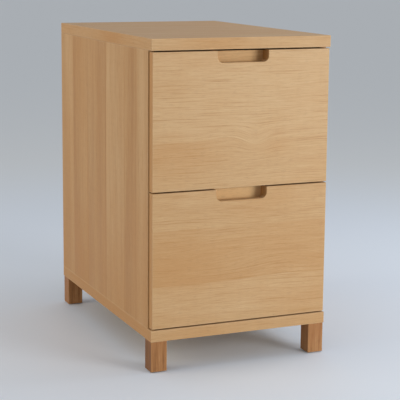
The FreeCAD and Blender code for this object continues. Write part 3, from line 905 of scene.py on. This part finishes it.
def start_tree(name, sizes):
    """A tree with inputs for the places, the named sizes and the finish."""
    tree = bpy.data.node_groups.new(name, "GeometryNodeTree")
    tree.interface.new_socket("Places", in_out="INPUT", socket_type="NodeSocketGeometry")
    for size in sizes:
        tree.interface.new_socket(size, in_out="INPUT", socket_type="NodeSocketFloat")
    tree.interface.new_socket("Finish", in_out="INPUT", socket_type="NodeSocketMaterial")
    tree.interface.new_socket("Pieces", in_out="OUTPUT", socket_type="NodeSocketGeometry")
    return tree, tree.nodes.new("NodeGroupInput").outputs


def shaded(tree, piece):
    """The piece with smooth shading, except along its creases."""
    smooth = result(tree, "GeometryNodeSetShadeSmooth", {"Geometry": piece})
    bend = node(tree, "GeometryNodeInputMeshEdgeAngle").outputs["Unsigned Angle"]
    creases = {"Geometry": smooth, "Selection": maths(tree, "GREATER_THAN", bend, crease_angle),
               "Shade Smooth": False}
    return result(tree, "GeometryNodeSetShadeSmooth", creases, domain="EDGE")


def end_tree(tree, given, parts):
    """Set the joined parts on every place and turn the result into finished mesh."""
    piece = shaded(tree, result(tree, "GeometryNodeJoinGeometry", {0: parts}))
    stored = {"Name": "facing"}
    facing = result(tree, "GeometryNodeInputNamedAttribute", stored, data_type="FLOAT_VECTOR")
    chance = {random_most: full_turn, random_seed: spin_seed}
    spin = node(tree, "FunctionNodeRandomValue", chance, data_type="FLOAT").outputs[random_number]
    spun = result(tree, "FunctionNodeEulerToRotation", {0: vector(tree, z=spin)})
    turned = {"Rotation": spun, "Vector": facing}
    aimed = result(tree, "FunctionNodeAlignRotationToVector", turned, axis="Z")
    layout = {"Points": given["Places"], "Instance": piece, "Rotation": aimed}
    set_out = result(tree, "GeometryNodeInstanceOnPoints", layout)
    real = result(tree, "GeometryNodeRealizeInstances", {0: set_out})
    done = result(tree, "GeometryNodeSetMaterial", {"Geometry": real, "Material": given["Finish"]})
    tree.links.new(done, tree.nodes.new("NodeGroupOutput").inputs[0])


print("a spin is at most", full_turn, "radians")

# %% [markdown]
# Turned hardware is made of two shapes: a cone or cylinder, and a ridge that winds up a shank. The ridge is a
# small triangle drawn along a spiral, which is cheaper than cutting a groove and looks the same at this size.

# %% Cones and threads
thread_steps = 12
ridge_sides = 3


def moved(tree, piece, lift):
    """A piece raised by a height."""
    placing = {"Geometry": piece, "Translation": vector(tree, z=lift)}
    return result(tree, "GeometryNodeTransform", placing)


def cone(tree, bottom, top, height, lift, sides):
    """A cone or cylinder that stands on a height of its own."""
    shape = {"Vertices": sides, "Radius Bottom": bottom, "Radius Top": top, "Depth": height}
    return moved(tree, result(tree, "GeometryNodeMeshCone", shape), lift)


def thread(tree, start, end, height, pitch, lift, depth):
    """A ridge of three sides that winds up a shank."""
    spiral = {"Resolution": thread_steps, "Rotations": maths(tree, "DIVIDE", height, pitch),
              "Start Radius": start, "End Radius": end, "Height": height}
    path = result(tree, "GeometryNodeCurveSpiral", spiral)
    outline = {"Resolution": ridge_sides, "Radius": depth}
    ridge = result(tree, "GeometryNodeCurvePrimitiveCircle", outline)
    sweep = {"Curve": path, "Profile Curve": ridge, "Fill Caps": True}
    return moved(tree, result(tree, "GeometryNodeCurveToMesh", sweep), lift)


print("thread steps in a turn:", thread_steps)

# %% [markdown]
# Two kinds of cross-recess screw: a flat countersunk head that fills a slide's sheet, and a domed head that
# sits on the wood. The recess is cut from the head by a Boolean with two crossed bars, once, before the head
# is repeated. The dome is a squashed ball whose lower half is cut away by a large block.

# %% Screw heads
half = 0.5
double = 2.0
head_sides = 32
head_rings = 16


def block(tree, x, y, z, lift):
    """A box about a point on the axis."""
    return moved(tree, result(tree, "GeometryNodeMeshCube", {"Size": vector(tree, x, y, z)}), lift)


def screw_head(tree, given, domed):
    """A head that stands on its seat, with a cross recess in its top."""
    diameter = given["Head Diameter"]
    radius = times(tree, diameter, half)
    height = given["Head Height"]
    recess_height = times(tree, given["Recess Depth"], double)
    long_side = given["Recess Span"]
    short_side = given["Recess Width"]
    cutters = [block(tree, long_side, short_side, recess_height, height),
               block(tree, short_side, long_side, recess_height, height)]
    if domed:
        ball_size = {"Segments": head_sides, "Rings": head_rings, "Radius": 1.0}
        ball = result(tree, "GeometryNodeMeshUVSphere", ball_size)
        squash = {"Geometry": ball, "Scale": vector(tree, radius, radius, height)}
        head = result(tree, "GeometryNodeTransform", squash)
        wide = times(tree, diameter, double)
        cutters.append(block(tree, wide, wide, wide, times(tree, wide, -half)))
    else:
        head = cone(tree, times(tree, given["Shank Diameter"], half), radius, height, 0.0, head_sides)
    cut = {"Mesh 1": head, "Mesh 2": cutters}
    return result(tree, "GeometryNodeMeshBoolean", cut, operation="DIFFERENCE", solver="EXACT")


print("sides of a head:", head_sides)

# %% [markdown]
# A wood screw's shank tapers to a point, and its thread starts at the point and runs out below the head.

# %% Screws
screw_sizes = ("Head Diameter", "Head Height", "Shank Diameter", "Shank Length",
               "Recess Span", "Recess Width", "Recess Depth", "Thread Pitch")
tip_share = 0.12
root_share = 0.75
ridge_share = 0.22
threaded_share = 0.9
core_sides = 12


def screw_tree(name, domed):
    """A cross-recess wood screw whose seat is at its origin, with the head above it."""
    tree, given = start_tree(name, screw_sizes)
    shank = times(tree, given["Shank Diameter"], half)
    length = given["Shank Length"]
    below = times(tree, length, -1.0)
    tip = times(tree, shank, tip_share)
    root = times(tree, shank, root_share)
    ridge = times(tree, shank, ridge_share)
    core = cone(tree, tip, root, length, below, core_sides)
    threaded = times(tree, length, threaded_share)
    winding = thread(tree, tip, root, threaded, given["Thread Pitch"], below, ridge)
    end_tree(tree, given, [screw_head(tree, given, domed), core, winding])
    return tree


flat_screw = screw_tree("countersunk_screw", domed=False)
domed_screw = screw_tree("domed_screw", domed=True)
print("screw trees:", flat_screw.name, domed_screw.name)

# %% [markdown]
# A tree runs as a modifier on a mesh of bare points, each with the way that its piece faces. The result is
# then turned into plain mesh, because instances and modifiers don't leave Blender, and the detailed pieces
# take the place of the plain ones on the same body.


def repeat(name, tree, seats, facings, sizes, finish):
    """Run a tree over places, turn the result into plain mesh and let it stand for the node of that name."""
    mesh = bpy.data.meshes.new(name + "_places")
    mesh.from_pydata(seats, [], [])
    facing = mesh.attributes.new("facing", "FLOAT_VECTOR", "POINT")
    facing.data.foreach_set("vector", [part for direction in facings for part in direction])
    piece = bpy.data.objects.new(name + "_detailed", mesh)
    bpy.context.scene.collection.objects.link(piece)
    modifier = piece.modifiers.new("repeat", "NODES")
    modifier.node_group = tree
    values = dict(sizes, Finish=finish)
    for socket in tree.interface.items_tree:
        if socket.name in values:
            modifier[socket.identifier] = values[socket.name]
    plain = bpy.data.meshes.new_from_object(piece.evaluated_get(bpy.context.evaluated_depsgraph_get()))
    piece.modifiers.remove(modifier)
    piece.data = plain
    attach(piece, frame["nodes"][name]["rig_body"])
    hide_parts(name)
    print(name, len(seats), "places,", len(plain.polygons), "faces")


# %% [markdown]
# Screws hold the slides to the cabinet and to the drawer boxes, and the fronts to the boxes. A screw's head
# looks away from the wood it is driven into, so the two sides of the cabinet mirror each other.

# %% Set the screws
screw_shank = 0.0039
screw_pitch = 0.0016
sheet_thickness = 0.0012
dome_height = 0.0025
flat_recess = {"Recess Span": 0.0044, "Recess Width": 0.0011, "Recess Depth": 0.0009}
dome_recess = {"Recess Span": 0.0048, "Recess Width": 0.0013, "Recess Depth": 0.0016}


def set_screws(name, tree, axis, outward, head_height, recess):
    """Screws in place of a node's plain ones; outward is the way a head on the right looks along its axis."""
    boxes = solid_boxes(name)
    seats = []
    facings = []
    for low, high in boxes:
        middle = (low + high) / 2
        sign = outward if axis == Y or middle.x > 0 else -outward
        facing = Vector((0.0, 0.0, 0.0))
        facing[axis] = sign
        seat = middle.copy()
        seat[axis] = (high if sign > 0 else low)[axis] - sign * head_height
        seats.append(seat)
        facings.append(facing)
    low, high = boxes[0]
    sizes = {"Head Diameter": high.z - low.z, "Head Height": head_height, "Shank Diameter": screw_shank,
             "Shank Length": high[axis] - low[axis] - head_height, "Thread Pitch": screw_pitch, **recess}
    repeat(name, tree, seats, facings, sizes, screw_zinc)


set_screws("slide_cabinet_screws", flat_screw, X, -1, sheet_thickness, flat_recess)
for drawer in drawers:
    set_screws(drawer + "_slide_screws", flat_screw, X, 1, sheet_thickness, flat_recess)
    set_screws(drawer + "_front_screws", domed_screw, Y, 1, dome_height, dome_recess)

# %% [markdown]
# Each leg is held by a threaded stud, and dowels keep the legs square. Real joining dowels are fluted, so
# that glue can escape along them. A star-shaped outline drawn along a short line gives the flutes, and a
# smaller outline at both ends of the line gives the chamfers.

# %% Studs and dowels
stud_sides = 24
stud_root_share = 0.86
stud_ridge_share = 0.14
flutes = 18
flute_share = 0.93
dowel_stations = 20
chamfer_share = 0.8


def stud_tree():
    """A threaded rod that stands on its place."""
    tree, given = start_tree("threaded_stud", ("Diameter", "Length", "Thread Pitch"))
    radius = times(tree, given["Diameter"], half)
    length = given["Length"]
    root = times(tree, radius, stud_root_share)
    ridge = times(tree, radius, stud_ridge_share)
    core = cone(tree, root, root, length, 0.0, stud_sides)
    winding = thread(tree, root, root, length, given["Thread Pitch"], 0.0, ridge)
    end_tree(tree, given, [core, winding])
    return tree


def dowel_tree():
    """A fluted dowel that stands on its place."""
    tree, given = start_tree("fluted_dowel", ("Diameter", "Length"))
    radius = times(tree, given["Diameter"], half)
    outline = {"Points": flutes, "Inner Radius": times(tree, radius, flute_share), "Outer Radius": radius}
    star = result(tree, "GeometryNodeCurveStar", outline)
    line = result(tree, "GeometryNodeCurvePrimitiveLine", {"End": vector(tree, z=given["Length"])})
    stations = result(tree, "GeometryNodeResampleCurve", {"Curve": line, "Count": dowel_stations})
    ends = result(tree, "GeometryNodeCurveEndpointSelection")
    narrow = {"Switch": ends, "False": 1.0, "True": chamfer_share}
    width = result(tree, "GeometryNodeSwitch", narrow, input_type="FLOAT")
    sweep = {"Curve": stations, "Profile Curve": star, "Scale": width, "Fill Caps": True}
    end_tree(tree, given, [result(tree, "GeometryNodeCurveToMesh", sweep)])
    return tree


threaded_stud = stud_tree()
fluted_dowel = dowel_tree()
print("rod trees:", threaded_stud.name, fluted_dowel.name)

# %% [markdown]
# Studs stand in the legs. Dowels stand in the carcass and the legs, and lie in the drawer boxes, so their
# beech has its grain along one axis or the other.

# %% Set the rods
stud_pitch = 0.00125
beech = {"dark": linear(186, 142, 102), "middle": linear(206, 165, 124), "light": linear(219, 183, 145),
         "warm": linear(202, 150, 108), "pore": linear(150, 104, 70)}
beech_heart = Vector((0.3, 0.2, 0.1))
beech_contrast = 0.8
beech_tone = 0.55


def set_rods(name, tree, axis, finish):
    """Upright or lying rods in place of a node's plain ones; only a stud's tree takes the pitch."""
    boxes = solid_boxes(name)
    direction = Vector((0.0, 0.0, 0.0))
    direction[axis] = 1.0
    seats = []
    for low, high in boxes:
        seat = (low + high) / 2
        seat[axis] = low[axis]
        seats.append(seat)
    low, high = boxes[0]
    sizes = {"Diameter": high.y - low.y, "Length": high[axis] - low[axis], "Thread Pitch": stud_pitch}
    repeat(name, tree, seats, [direction] * len(seats), sizes, finish)


def beech_along(name, axis):
    """Beech with its grain along an axis."""
    return solid_wood(name, beech, cad_box, axis, beech_heart, beech_contrast, beech_tone, beech_tone)


upright_beech = beech_along("beech_upright", Z)
lying_beech = beech_along("beech_lying", X)
set_rods("leg_bolts", threaded_stud, Z, screw_zinc)
set_rods("carcass_dowels", fluted_dowel, Z, upright_beech)
set_rods("leg_dowels", fluted_dowel, Z, upright_beech)
for drawer in drawers:
    set_rods(drawer + "_box_dowels", fluted_dowel, X, lying_beech)
